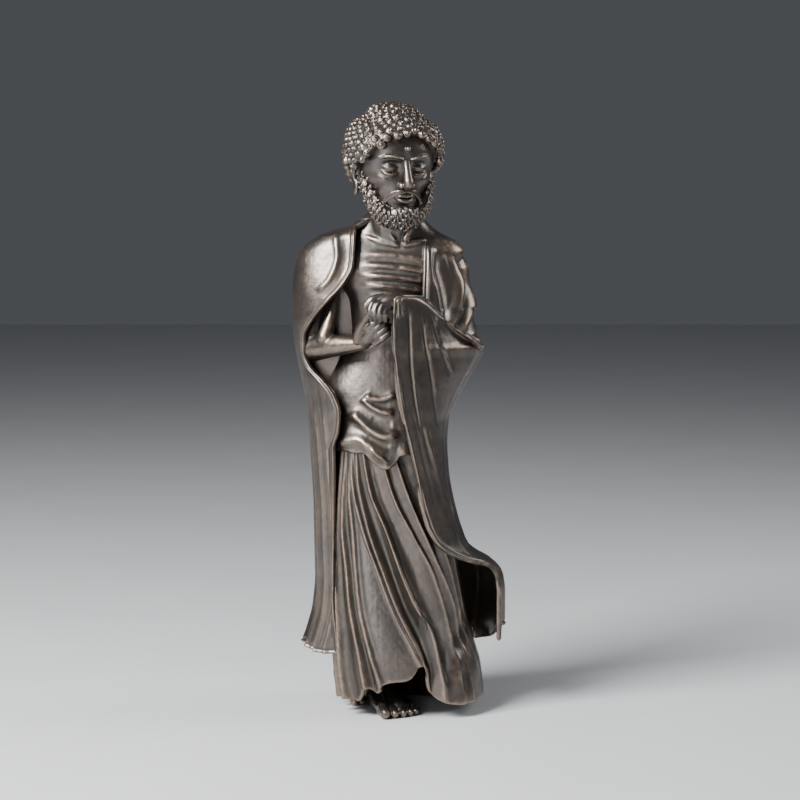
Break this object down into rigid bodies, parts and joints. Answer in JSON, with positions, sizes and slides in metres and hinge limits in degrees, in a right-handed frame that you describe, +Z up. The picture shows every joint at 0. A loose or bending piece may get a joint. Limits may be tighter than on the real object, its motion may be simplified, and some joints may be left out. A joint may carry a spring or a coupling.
{
  "type": "bodhidharma statue",
  "caption": "Cast bronze statue of a walking, bearded ascetic with curled hair, hands clasped at the chest in a wind-blown robe.",
  "frame": {"origin": "on the floor, below the middle of the figure's bounding box", "axes": "+Z up through the head, -Y to the front, which the toes and the clasped hands are on, +X to the figure's left"},
  "size_m": [0.1269, 0.0976, 0.3612],
  "materials": {
    "bronze": "dark brown patina, rubbed warmer on the ridges"
  },
  "bodies": {
    "root": {"figure": "bronze"}
  },
  "joints": []
}
